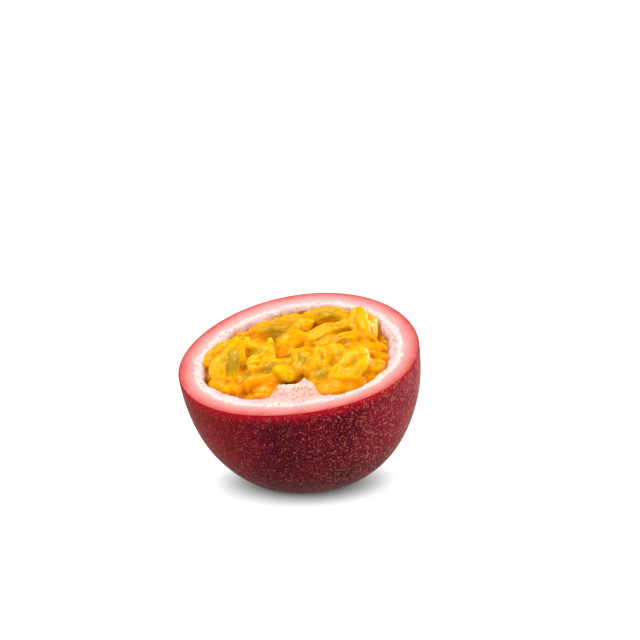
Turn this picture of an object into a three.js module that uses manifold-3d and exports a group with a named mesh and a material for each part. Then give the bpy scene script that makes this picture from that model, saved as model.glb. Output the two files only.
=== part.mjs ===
// A passion fruit half: a purple passion fruit cut across its middle, resting on its blossom end with the
// cut face up. Three layers show at the cut and run through the half: the rind with its pink flesh, the
// white pith with one torn flap, and the pulp, a heap of juicy seed sacs.
//
// Millimetres, +Z up. The origin is the centre of the small flat spot that the half rests on. The fruit's
// own axis leans a few degrees, so the cut face is built level in the group "fruit" and tilted with it.
import * as THREE from "three";
import { mergeVertices } from "three/addons/utils/BufferGeometryUtils.js";
import Module from "manifold-3d";

// The fruit's outside, in its own frame: the cut face is the plane z = 0 and the half lies below it.
const FRUIT_RADIUS = 28; // mean radius of the cut face
const HALF_DEPTH = 34.7; // from the cut face down to the blossom end
const BLUNTNESS = 2.13; // exponent of the profile's superellipse, where 2 is a plain ellipse
const POLE_LEAN = [0.45, 0.78]; // how far the blossom end sits off the axis
const RIND_DEPTH = 3.6; // rind and pink flesh at the blossom end
const PITH_DEPTH = 2.7; // pith at the blossom end
const LAYER_GAP = 0.3; // clearance between two layers

// How the half stands: the far side and the right side of the cut face are the high ones.
const TILT_FAR = 7.4; // degrees about the left-right axis
const TILT_RIGHT = 6.8; // degrees about the near-far axis
const CUT_CENTRE = [-0.8, -1.7, 34.2]; // middle of the cut face, from the middle of the flat spot

// Outlines on the cut face. Each is a circle with a few swells: [how many, height, degrees of the first].
const OUTSIDE = {
  radius: FRUIT_RADIUS,
  swells: [[1, 0.38, 353], [2, 0.47, 34], [3, 0.62, 86], [4, 0.11, 51]],
};
const FLESH_TO_PITH = {
  radius: 24.05,
  swells: [[1, 0.64, 312], [2, 0.66, 25], [3, 0.62, 84], [4, 0.13, 47], [13, 0.15, 10], [23, 0.12, 3]],
};
const HOLLOW = {
  radius: 21.8,
  swells: [[1, 0.47, 351], [2, 0.71, 19], [3, 1.12, 74], [4, 0.44, 42], [11, 0.25, 6], [19, 0.15, 11]],
};

// The torn flap of pith that reaches over the hollow on the near side: [degrees, radius] of its outline.
const FLAP_OUTLINE = [
  [246, 22.8], [249.5, 20.2], [251.5, 17.6], [253, 14.2], [259, 14.5], [264, 15.2], [273, 15.2],
  [277, 13.8], [279.5, 15.2], [283, 16.8], [285.5, 19.4], [287.5, 21.2], [290, 22.9], [280, 23.2],
  [268, 23.3], [257, 23.2],
];
const FLAP_MIDDLE = 268; // degrees
const FLAP_THICKNESS = 1.2;
const FLAP_ROOT = { radius: 22.5, top: -0.5 }; // where it leaves the ring of pith
const FLAP_TIP = { radius: 13.8, tops: [0.1, 1.3], degrees: [252, 277] }; // its torn edge, rising rightwards
const UNDER_FLAP = 13; // radius past which no sac stands below the flap

// The seed sacs that stand out of the heap, each a drop with a round end and a pointed end:
// [x, y, z of its middle, heading, rise, length, width], with the heading and rise of the point in degrees.
const TALL_SACS = [
  [-19.0, 2.0, -0.6, 46, 15, 7.8, 5.4],
  [-15.9, 5.6, -0.1, 36, 8, 8.6, 5.4],
  [-15.4, -3.9, 0.8, 72, 19, 13.4, 7.6],
  [-18.6, -3.4, -1.8, 80, 4, 8.0, 4.4],
  [-5.1, -6.2, -0.2, 13, 8, 11.0, 4.8],
  [-8.3, -4.9, 0.9, 27, 9, 7.2, 5.0],
  [-9.2, -0.8, 1.3, 341, 8, 9.2, 5.4],
  [-12.0, 2.0, 0.3, 120, 34, 6.5, 3.4],
  [-5.3, 9.2, 0.6, 344, 7, 12.8, 7.2],
  [-1.8, 4.2, 0.2, 40, 17, 8.2, 5.0],
  [-1.4, 15.6, -0.5, 8, 12, 6.6, 4.6],
  [1.4, 9.7, 1.4, 26, 23, 5.4, 4.4],
  [6.9, 14.2, 0.7, 343, 9, 11.4, 5.8],
  [15.3, 7.6, 1.0, 94, 11, 13.2, 6.6],
  [16.5, 8.4, 0.6, 88, 10, 8.4, 3.8],
  [12.4, 10.6, 0.6, 98, 8, 8.2, 4.2],
  [8.2, 6.0, 0.9, 22, 5, 13.4, 5.8],
  [10.1, 1.9, 0.5, 196, 2, 10.0, 5.0],
  [16.2, -2.4, 0.0, 355, 3, 9.6, 4.6],
  [18.2, -6.6, -0.3, 345, 2, 7.2, 4.8],
  [17.2, -10.4, -0.4, 40, 5, 6.6, 5.0],
  [12.4, -11.5, 1.2, 52, 20, 11.4, 7.4],
  [9.9, -16.5, -0.7, 8, 4, 10.8, 5.2],
  [9.8, -4.7, 1.1, 127, 12, 7.6, 5.2],
  [6.0, -6.5, 0.9, 83, 11, 8.6, 5.4],
  [1.4, -6.6, 0.6, 105, 10, 10.2, 6.2],
  [5.4, -10.9, -0.5, 30, 14, 7.8, 5.2],
  [-2.7, -11.1, 1.1, 305, -14, 5.4, 4.8],
  [-7.9, -11.4, -0.4, 357, 7, 8.4, 4.8],
  [-12.0, -8.2, -1.2, 40, 12, 6.0, 4.4],
  [-15.8, -11.6, -1.0, 38, 12, 4.2, 3.6],
  [-18.0, -10.2, -0.9, 350, 12, 4.2, 3.6],
  [-17.2, -12.4, -1.6, 323, 4, 4.2, 3.2],
  [-12.9, -11.6, -1.5, 20, 6, 4.8, 3.6],
  [0.4, 6.8, -0.8, 335, 8, 6.8, 5.0],
  [-4.0, 0.6, -1.0, 7, 8, 6.0, 4.6],
  [-11.0, 2.0, 1.9, 98, 36, 5.4, 1.8],
  [-6.6, 0.8, 1.3, 69, 34, 5.0, 2.4],
  [-6.6, -13.6, -2.0, 358, 12, 6.0, 4.2],
];

// The lower sacs between them: a sunflower pattern, with each sac turned and sized by a seeded draw.
const LOW_SACS = {
  spacing: 4.1, level: -1, drop: 1.5, farDrop: 1.2, length: [6, 8], width: [4.6, 5.8], rise: 22, seed: 1913,
};
const LOW_SAC_CLEARANCE = 1.8; // from the line through a tall sac
const DRAINED_SPOTS = [[-19.5, -7.5], [18.5, 5.0]]; // at the wall, where sacs have come out with the knife
const DRAINED_RADIUS = 3.5;
const WALL_CLEARANCE = 2.2; // from the wall of the hollow to a low sac's middle
const GOLDEN_ANGLE = Math.PI * (3 - Math.sqrt(5));
const PULP_LEVEL = -1.9; // top of the packed pulp that the sacs are sunk in
const SAC_FLATNESS = 0.88; // height of a sac over its width
const HEADROOM = 9; // height over the cut face that a cutting solid reaches

const radians = THREE.MathUtils.degToRad;
const wasm = await Module();
wasm.setup();

function solidOf(geometry) {
  const bare = geometry.clone().deleteAttribute("normal").deleteAttribute("uv");
  const merged = mergeVertices(bare, 1e-4);
  return new wasm.Manifold(
    new wasm.Mesh({
      numProp: 3,
      vertProperties: merged.attributes.position.array,
      triVerts: new Uint32Array(merged.index.array),
    }),
  );
}

function geometryOf(solid) {
  const { vertProperties, triVerts } = solid.getMesh();
  const geometry = new THREE.BufferGeometry();
  geometry.setAttribute("position", new THREE.BufferAttribute(vertProperties, 3));
  geometry.setIndex(new THREE.BufferAttribute(triVerts, 1));
  geometry.computeVertexNormals();
  return geometry;
}

function largestBody(solid) {
  return solid.decompose().reduce((best, body) => (body.volume() > best.volume() ? body : best));
}

function reshape(geometry, move) {
  const position = geometry.attributes.position;
  const point = new THREE.Vector3();
  for (let i = 0; i < position.count; i++) {
    move(point.fromBufferAttribute(position, i));
    position.setXYZ(i, point.x, point.y, point.z);
  }
  return geometry;
}

function degreesOf(x, y) {
  return THREE.MathUtils.euclideanModulo(THREE.MathUtils.radToDeg(Math.atan2(y, x)), 360);
}

function radiusAt(outline, angle) {
  const swell = ([count, height, peak]) => height * Math.cos(count * (angle - radians(peak)));
  return outline.swells.reduce((radius, item) => radius + swell(item), outline.radius);
}

// A layer's outer form: a level face with the outline, rounding down to a blunt pole. The collar carries the
// wall straight up from the face, for a solid that only cuts others.
function dome(outline, inset, depth, rings, collar = 0) {
  const profile = [];
  for (let ring = 0; ring <= rings; ring++) {
    const slope = (Math.PI / 2) * (1 - ring / rings);
    const out = ring === 0 ? 0 : Math.cos(slope) ** (2 / BLUNTNESS);
    profile.push(new THREE.Vector2(out, -(Math.sin(slope) ** (2 / BLUNTNESS))));
  }
  if (collar) profile.push(new THREE.Vector2(1, collar / depth));
  profile.push(new THREE.Vector2(0, collar / depth));
  const lathe = new THREE.LatheGeometry(profile, 72).rotateX(Math.PI / 2);
  return solidOf(
    reshape(lathe, (point) => {
      const angle = Math.atan2(point.y, point.x);
      const radius = Math.hypot(point.x, point.y) * (radiusAt(outline, angle) - inset);
      const lean = Math.max(0, -point.z);
      point.x = radius * Math.cos(angle) + lean * POLE_LEAN[0];
      point.y = radius * Math.sin(angle) + lean * POLE_LEAN[1];
      point.z *= depth;
    }),
  );
}

// The flap, or with some growth the room that the pulp leaves round it.
function flap(growth = 0) {
  const shape = new THREE.Shape(
    FLAP_OUTLINE.map(([degrees, radius]) => {
      const side = Math.sign(degrees - FLAP_MIDDLE);
      const angle = radians(degrees) + (side * growth) / radius;
      const reach = radius - growth;
      return new THREE.Vector2(reach * Math.cos(angle), reach * Math.sin(angle));
    }),
  );
  const depth = FLAP_THICKNESS + 2 * growth;
  const slab = new THREE.ExtrudeGeometry(shape, { depth, bevelEnabled: false });
  return solidOf(
    reshape(slab, (point) => {
      const along = (FLAP_ROOT.radius - Math.hypot(point.x, point.y)) / (FLAP_ROOT.radius - FLAP_TIP.radius);
      const turn = degreesOf(point.x, point.y);
      const tip = THREE.MathUtils.mapLinear(turn, ...FLAP_TIP.degrees, ...FLAP_TIP.tops);
      const top = THREE.MathUtils.lerp(FLAP_ROOT.top, tip, along);
      point.z += top - FLAP_THICKNESS - growth;
    }),
  );
}

// One seed sac: a drop turned about its length, round at one end and drawn to a point at the other.
function sac([x, y, z, heading, rise, length, width]) {
  const profile = [];
  const rings = 5;
  for (let ring = 0; ring <= rings; ring++) {
    const along = (1 - Math.cos((Math.PI * ring) / rings)) / 2;
    const girth = ring % rings ? 1.08 * Math.sqrt(Math.sin(Math.PI * along ** 0.85)) * (1 - along) ** 0.18 : 0;
    profile.push(new THREE.Vector2((girth * width) / 2, (along - 0.5) * length));
  }
  const drop = new THREE.LatheGeometry(profile, 8).rotateZ(-Math.PI / 2).scale(1, 1, SAC_FLATNESS);
  drop.rotateY(-radians(rise)).rotateZ(radians(heading)).translate(x, y, z);
  return solidOf(drop);
}

// A repeatable draw between 0 and 1, by the minimal standard generator.
function seededDraw(seed) {
  let state = seed;
  return () => {
    state = (state * 16807) % 2147483647;
    return state / 2147483647;
  };
}

function distanceToSac(x, y, [sacX, sacY, , heading, , length]) {
  const cos = Math.cos(radians(heading));
  const sin = Math.sin(radians(heading));
  const along = THREE.MathUtils.clamp((x - sacX) * cos + (y - sacY) * sin, -length / 4, length / 4);
  return Math.hypot(x - sacX - along * cos, y - sacY - along * sin);
}

function underFlap(x, y) {
  const edges = FLAP_OUTLINE.map(([degrees]) => degrees);
  const turn = degreesOf(x, y);
  return turn > Math.min(...edges) && turn < Math.max(...edges) && Math.hypot(x, y) > UNDER_FLAP;
}

function drained(x, y) {
  return DRAINED_SPOTS.some(([spotX, spotY]) => Math.hypot(x - spotX, y - spotY) < DRAINED_RADIUS);
}

function lowSacs() {
  const draw = seededDraw(LOW_SACS.seed);
  const between = ([low, high]) => low + (high - low) * draw();
  const sacs = [];
  for (let i = 0; ; i++) {
    const radius = LOW_SACS.spacing * 0.56 * Math.sqrt(i + 0.5);
    if (radius > FRUIT_RADIUS) return sacs;
    const angle = i * GOLDEN_ANGLE;
    const [x, y] = [radius * Math.cos(angle), radius * Math.sin(angle)];
    const heading = 360 * draw();
    const rise = LOW_SACS.rise * (2 * draw() - 1);
    const length = between(LOW_SACS.length);
    const width = between(LOW_SACS.width);
    const near = TALL_SACS.some((tall) => distanceToSac(x, y, tall) < LOW_SAC_CLEARANCE);
    const pastWall = radius > radiusAt(HOLLOW, angle) - WALL_CLEARANCE;
    if (near || pastWall || underFlap(x, y) || drained(x, y)) continue;
    const share = radius / HOLLOW.radius;
    const drop = LOW_SACS.drop * share ** 2 + LOW_SACS.farDrop * share * Math.max(0, Math.sin(angle));
    sacs.push([x, y, LOW_SACS.level - drop, heading, rise, length, width]);
  }
}

function rind(footCutter) {
  const inside = dome(FLESH_TO_PITH, -LAYER_GAP / 2, HALF_DEPTH - RIND_DEPTH, 7, 1);
  return dome(OUTSIDE, 0, HALF_DEPTH, 13).subtract(inside).subtract(footCutter);
}

function pith() {
  const hollow = dome(HOLLOW, 0, HALF_DEPTH - RIND_DEPTH - PITH_DEPTH, 6, 1);
  const lining = dome(FLESH_TO_PITH, LAYER_GAP / 2, HALF_DEPTH - RIND_DEPTH - LAYER_GAP, 7);
  return lining.subtract(hollow).add(flap());
}

function pulp() {
  const depth = HALF_DEPTH - RIND_DEPTH - PITH_DEPTH - LAYER_GAP;
  const above = new THREE.BoxGeometry(2 * FRUIT_RADIUS, 2 * FRUIT_RADIUS, HEADROOM);
  const packed = dome(HOLLOW, LAYER_GAP, depth, 6).subtract(
    solidOf(above.translate(0, 0, PULP_LEVEL + HEADROOM / 2)),
  );
  const heap = [...TALL_SACS, ...lowSacs()].map(sac).reduce((joined, one) => joined.add(one), packed);
  const room = dome(HOLLOW, LAYER_GAP, depth, 6, HEADROOM);
  return largestBody(heap.intersect(room).subtract(flap(LAYER_GAP)));
}

// The fruit stands tilted, and what would reach below the floor is sliced off as the flat spot.
const fruit = new THREE.Group();
fruit.position.set(...CUT_CENTRE);
fruit.rotation.set(radians(TILT_FAR), -radians(TILT_RIGHT), 0);
fruit.updateMatrixWorld(true);
const floorBlock = new THREE.BoxGeometry(4 * FRUIT_RADIUS, 4 * FRUIT_RADIUS, HEADROOM)
  .translate(0, 0, -HEADROOM / 2)
  .applyMatrix4(fruit.matrixWorld.clone().invert());

function layer(name, solid, color, roughness) {
  const material = new THREE.MeshStandardMaterial({ color, roughness, metalness: 0 });
  const mesh = new THREE.Mesh(geometryOf(solid), material);
  mesh.name = name;
  fruit.add(mesh);
}

layer("rind", rind(solidOf(floorBlock)), 0x6e1430, 0.42);
layer("pith", pith(), 0xfbe4e0, 0.8);
layer("pulp", pulp(), 0xf5a60a, 0.25);

const part = new THREE.Group();
part.name = "passion fruit half";
part.add(fruit);

export default part;
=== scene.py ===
import math
from collections import namedtuple

import bpy
import numpy as np
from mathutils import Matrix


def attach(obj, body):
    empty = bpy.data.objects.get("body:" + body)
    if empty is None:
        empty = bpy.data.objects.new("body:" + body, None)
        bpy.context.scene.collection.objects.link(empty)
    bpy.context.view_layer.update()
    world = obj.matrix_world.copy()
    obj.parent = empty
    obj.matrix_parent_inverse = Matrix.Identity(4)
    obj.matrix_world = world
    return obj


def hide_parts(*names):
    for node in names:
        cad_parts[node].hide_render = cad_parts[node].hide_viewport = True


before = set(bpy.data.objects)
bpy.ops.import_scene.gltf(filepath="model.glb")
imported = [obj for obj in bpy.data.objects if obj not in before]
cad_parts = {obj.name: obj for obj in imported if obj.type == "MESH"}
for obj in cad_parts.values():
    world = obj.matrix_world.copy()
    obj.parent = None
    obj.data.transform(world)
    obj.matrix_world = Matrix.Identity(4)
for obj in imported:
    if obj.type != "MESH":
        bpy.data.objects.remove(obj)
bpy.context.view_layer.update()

# ---- How the half stands ----
# The fruit rests on its blossom end with its axis leaning a few degrees, so that the far side and the right
# side of the cut face are the high ones. Its shapes are worked out in millimetres on a level cut face, the
# plane z = 0 with the half below it, and then stood in the row's frame, in metres.
MM = 0.001
CUT_CENTRE = (-0.8, -1.7, 34.2)
TILT_FAR = math.radians(7.4)
TILT_RIGHT = math.radians(6.8)


def tilt_matrix():
    far, right = TILT_FAR, TILT_RIGHT
    about_x = [[1, 0, 0], [0, math.cos(far), -math.sin(far)], [0, math.sin(far), math.cos(far)]]
    about_y = [[math.cos(right), 0, -math.sin(right)], [0, 1, 0], [math.sin(right), 0, math.cos(right)]]
    return np.array(about_x) @ np.array(about_y)


def stand(points):
    """Points of the level cut face's frame, in millimetres, as they stand in the row's frame, in metres."""
    return (np.asarray(points) @ tilt_matrix().T + CUT_CENTRE) * MM


# ---- Camera ----
# A long lens looks down on the cut face from the front, from a little over half a metre away, with the half
# standing to the left of and below the middle of the picture.
CAMERA_ELEVATION = math.radians(22)
CAMERA_DISTANCE = 0.5
CAMERA_LENS = 120.9
AIM_RIGHT = 5.18 * MM
AIM_UP = 7.6 * MM


def put_in_scene(name, data):
    made = bpy.data.objects.new(name, data)
    bpy.context.scene.collection.objects.link(made)
    return made


ahead = np.array([0, math.cos(CAMERA_ELEVATION), -math.sin(CAMERA_ELEVATION)])
upward = np.array([0, math.sin(CAMERA_ELEVATION), math.cos(CAMERA_ELEVATION)])
aim = np.array(CUT_CENTRE) * MM + np.array([AIM_RIGHT, 0, 0]) + AIM_UP * upward
camera = put_in_scene("camera", bpy.data.cameras.new("camera"))
camera.data.lens = CAMERA_LENS
camera.data.clip_start = 0.01
camera.location = aim - CAMERA_DISTANCE * ahead
camera.rotation_euler = (math.pi / 2 - CAMERA_ELEVATION, 0, 0)
bpy.context.scene.camera = camera

# ---- Rind ----
# The rind is the fruit's firm outer wall: a thin maroon skin with fine tan specks over three or four
# millimetres of coral flesh that pales inwards. It is one turned wall, a little three-sided, cut clean
# across with a knife, and it carries everything else.
FRUIT_RADIUS = 28
HALF_DEPTH = 34.7
BLUNTNESS = 2.13
POLE_LEAN = (0.45, 0.78)
RIND_DEPTH = 3.6
INNER_DEPTH = HALF_DEPTH - RIND_DEPTH
KNIFE_EDGE = 0.22


def outline(mean, swells):
    """The radius of an outline on the cut face by angle: a circle with swells (count, height, degrees)."""
    return lambda angle: mean + sum(
        height * np.cos(count * (angle - math.radians(peak))) for count, height, peak in swells
    )


skin_edge = outline(FRUIT_RADIUS, [(1, 0.38, 353), (2, 0.47, 34), (3, 0.62, 86), (4, 0.11, 51)])
pith_edge = outline(
    24.05, [(1, 0.64, 312), (2, 0.66, 25), (3, 0.62, 84), (4, 0.13, 47), (13, 0.15, 10), (23, 0.12, 3)]
)


def ripple(points, size, seed):
    """Smooth noise from -1 to 1 at each point, with bumps about that size across."""
    cell = np.floor(points / size).astype(np.int64)
    share = points / size - cell
    share = share * share * (3 - 2 * share)
    total = np.zeros(points.shape[:-1])
    for corner in np.ndindex(2, 2, 2):
        at = cell + corner
        mixed = at[..., 0] * 73856093 ^ at[..., 1] * 19349663 ^ at[..., 2] * 83492791 ^ seed * 2654435761
        mixed = (mixed ^ mixed >> 13) * 1274126177
        value = ((mixed ^ mixed >> 16) & 0xFFFF) / 32767.5 - 1
        total += value * np.prod(np.where(corner, share, 1 - share), axis=-1)
    return total


def polar(radius, angle, height):
    return np.stack([radius * np.cos(angle), radius * np.sin(angle), height + 0 * angle], axis=-1)


def all_round(count):
    """The angles of that many columns, all the way round."""
    return np.linspace(0, 2 * math.pi, count, endpoint=False)


def shell_row(edge, depth, slope):
    """One ring of a layer's rounded wall: slope 0 is at the cut face and 90 degrees is the pole."""
    out = math.cos(slope) ** (2 / BLUNTNESS)
    down = math.sin(slope) ** (2 / BLUNTNESS)
    row = polar(edge * out, columns, -depth * down)
    return row + [POLE_LEAN[0] * down, POLE_LEAN[1] * down, 0]


def pole(depth):
    return np.array([POLE_LEAN[0], POLE_LEAN[1], -depth])


def new_piece(name, points, faces):
    """A smooth piece with its place in its mesh."""
    mesh = bpy.data.meshes.new(name)
    mesh.from_pydata(points, [], faces)
    mesh.polygons.foreach_set("use_smooth", np.ones(len(faces), dtype=bool))
    return put_in_scene(name, mesh)


def bands(rings, around):
    """The four-cornered faces between rings of points that follow one another."""
    start = np.arange(rings - 1)[:, None] * around
    here, after = start + np.arange(around), start + np.roll(np.arange(around), -1)
    return np.stack([here, after, after + around, here + around], axis=-1).reshape(-1, 4)


def fan(ring, hub):
    """The three-cornered faces from a hub to each side of a ring of points."""
    return np.stack([np.full(len(ring), hub), ring, np.roll(ring, -1)], axis=-1)


def facing_out(points, faces):
    """Four-cornered faces of a closed shape, turned so that they look out of it."""
    first, second, third, fourth = (points[faces[:, i]] for i in range(4))
    volume = np.einsum("ij,ij->i", first, np.cross(second, third) + np.cross(third, fourth)).sum()
    return faces if volume > 0 else faces[:, ::-1]


def turned_piece(name, rows, inner_pole, outer_pole):
    """A closed turned shape: rings from the pole of its inside, over the cut face, to the pole outside."""
    count, around = rows.shape[:2]
    ring, total = np.arange(around), count * around
    inner = fan(ring, total)[:, [0, 2, 1, 1]]
    outer = fan(total - around + ring, total + 1)[:, [0, 1, 2, 2]]
    points = stand(np.concatenate([rows.reshape(-1, 3), [inner_pole, outer_pole]]))
    points[:, 2] = np.maximum(points[:, 2], 0)
    faces = facing_out(points, np.concatenate([bands(count, around), inner, outer]))
    return new_piece(name, points, [list(dict.fromkeys(face)) for face in faces.tolist()])


def from_axis(points):
    """How far points of the level frame are from the half's own axis."""
    return np.hypot(points[..., 0], points[..., 1])


def angle_of(points):
    return np.arctan2(points[..., 1], points[..., 0])


def write_value(piece, name, values, *at_poles):
    """One number at each point of a mesh, for its material. A turned piece ends with its two poles."""
    made = piece.data.attributes.new(name, "FLOAT", "POINT")
    made.data.foreach_set("value", np.append(values, at_poles).astype(np.float32))


def write_place(piece, name, values):
    made = piece.data.attributes.new(name, "FLOAT_VECTOR", "POINT")
    made.data.foreach_set("vector", np.asarray(values, dtype=np.float32).ravel())


def write_spoke(piece, points):
    """Coordinates of a turned piece for patterns drawn out along the radius of the cut face."""
    radius = from_axis(points)
    out = np.maximum(radius, 1e-6)
    spoke = np.stack([24 * points[:, 0] / out, 24 * points[:, 1] / out, 0.35 * radius], 1)
    write_place(piece, "spoke", np.concatenate([spoke, [[0, 0, 0], [0, 0, 0]]]))


RIND_COLUMNS = 480
columns = all_round(RIND_COLUMNS)
quarter = math.pi / 2
rows, from_skin = [], []
for step in np.linspace(0.06, 1, 10):
    rows.append(shell_row(pith_edge(columns), INNER_DEPTH, quarter * (1 - step)))
    from_skin.append(np.full(RIND_COLUMNS, 4.0))
for step in [0.008, *np.linspace(0, 1, 16)[1:]]:
    inset = skin_edge(columns) - KNIFE_EDGE
    radius = pith_edge(columns) + (inset - pith_edge(columns)) * step
    row = polar(radius, columns, 0)
    row[:, 2] = 0.06 * ripple(row, 2.6, 11) * math.sin(math.pi * step) + 0.05 * math.sin(math.pi * step)
    rows.append(row)
    from_skin.append(skin_edge(columns) - radius)
cut_rows_end = len(rows)
for turn in (0.3, 0.6, 0.85):
    lift = KNIFE_EDGE * (math.cos(quarter * turn) - 1)
    radius = skin_edge(columns) - KNIFE_EDGE * (1 - math.sin(quarter * turn))
    rows.append(polar(radius, columns, lift))
    from_skin.append(skin_edge(columns) - radius)
for step in np.linspace(0.018, 0.975, 96):
    row = shell_row(skin_edge(columns), HALF_DEPTH, quarter * step)
    swell = 0.1 * ripple(row, 9, 5) * min(1, step * 6)
    rows.append(row * (1 + swell[:, None] / FRUIT_RADIUS))
    from_skin.append(np.zeros(RIND_COLUMNS))
rows = np.array(rows)
rind = turned_piece("rind_detail", rows, pole(INNER_DEPTH), pole(HALF_DEPTH))
flat = rows.reshape(-1, 3)
write_value(rind, "from_skin", from_skin, 4, 0)
write_value(rind, "past_pith", from_axis(flat) - pith_edge(angle_of(flat)), 0, 9)
write_value(rind, "below_cut", -flat[:, 2], HALF_DEPTH, HALF_DEPTH)
write_spoke(rind, flat)


def paint(code):
    """A colour from its hex code, as the shader wants it."""
    parts = [int(code[i : i + 2], 16) / 255 for i in (1, 3, 5)]
    return [*(p / 12.92 if p <= 0.04045 else ((p + 0.055) / 1.055) ** 2.4 for p in parts), 1]


def new_material(name):
    """An empty material and its node tree."""
    made = bpy.data.materials.new(name)
    made.use_nodes = True
    made.node_tree.nodes.clear()
    return made, made.node_tree


def node(home, kind, inputs=(), **settings):
    """A new node in a tree, or in the tree an output is in. An input is a value, a hex code or an output."""
    tree = home.id_data
    made = tree.nodes.new(kind)
    for key, value in settings.items():
        setattr(made, key, value)
    for key, value in dict(inputs).items():
        if isinstance(value, bpy.types.NodeSocket):
            tree.links.new(value, made.inputs[key])
        else:
            made.inputs[key].default_value = paint(value) if isinstance(value, str) else value
    return made


def value_of(home, name):
    return node(home, "ShaderNodeAttribute", attribute_name=name).outputs["Fac"]


def place_of(home, name):
    return node(home, "ShaderNodeAttribute", attribute_name=name).outputs["Vector"]


def place(tree, scale=(1, 1, 1)):
    """The piece's own coordinates in millimetres, with a pattern stretched by the scale."""
    where = node(tree, "ShaderNodeTexCoord").outputs["Object"]
    size = [s / MM for s in scale]
    return node(tree, "ShaderNodeMapping", {"Vector": where, "Scale": size}).outputs["Vector"]


def noise(where, scale, detail=2.0, roughness=0.5):
    inputs = {"Vector": where, "Scale": scale, "Detail": detail, "Roughness": roughness}
    return node(where, "ShaderNodeTexNoise", inputs).outputs["Fac"]


def steps(value, low, high, to_low=0.0, to_high=1.0):
    """The value eased from one range to another."""
    inputs = {"Value": value, "From Min": low, "From Max": high, "To Min": to_low, "To Max": to_high}
    return node(value, "ShaderNodeMapRange", inputs, interpolation_type="SMOOTHSTEP").outputs["Result"]


def math_node(operation, first, second):
    return node(first, "ShaderNodeMath", {0: first, 1: second}, operation=operation).outputs["Value"]


def times(first, second):
    return math_node("MULTIPLY", first, second)


def plus(first, second):
    return math_node("ADD", first, second)


def swing(wave, width):
    """A wave between 0 and 1 made into a shift to either side, that width in all."""
    return times(math_node("SUBTRACT", wave, 0.5), width)


def mix(share, first, second):
    return node(share, "ShaderNodeMix", {0: share, 6: first, 7: second}, data_type="RGBA").outputs[2]


def layer(base, share, code):
    """The base with a paint laid over its share from 0 to 1."""
    return mix(share, base, code)


def coats(base, rows):
    """The base under coats of paint: (value, where it starts, where it is full, its greatest share, code)."""
    for value, start, full, most, code in rows:
        base = layer(base, steps(value, start, full, 0, most), code)
    return base


def bump(height, distance, strength, normal=None):
    inputs = {"Height": height, "Distance": distance * MM, "Strength": strength}
    if normal:
        inputs["Normal"] = normal
    return node(height, "ShaderNodeBump", inputs).outputs["Normal"]


def surfaced(material, inputs):
    """The material, with these inputs to its surface shader."""
    shader = node(material.node_tree, "ShaderNodeBsdfPrincipled", inputs)
    node(material.node_tree, "ShaderNodeOutputMaterial", {"Surface": shader.outputs["BSDF"]})
    return material


def specks(where, scale, smallest, largest):
    """Round specks of many sizes, one in each cell of a scattered pattern."""
    cells = node(where, "ShaderNodeTexVoronoi", {"Vector": where, "Scale": scale})
    chance = node(where, "ShaderNodeSeparateColor", {"Color": cells.outputs["Color"]}).outputs["Red"]
    size = steps(chance, 0.25, 1.0, smallest, largest)
    share = math_node("DIVIDE", cells.outputs["Distance"], size)
    return steps(share, 1.3, 0.15), chance


def speckled(base, spots, strength, dull, bright, share, tan):
    """The base under specks that run from a dull to a bright paint, with a share of tan in them."""
    cover, chance = spots
    tint = layer(mix(chance, dull, bright), share, tan)
    return mix(times(cover, strength), base, tint)


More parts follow.
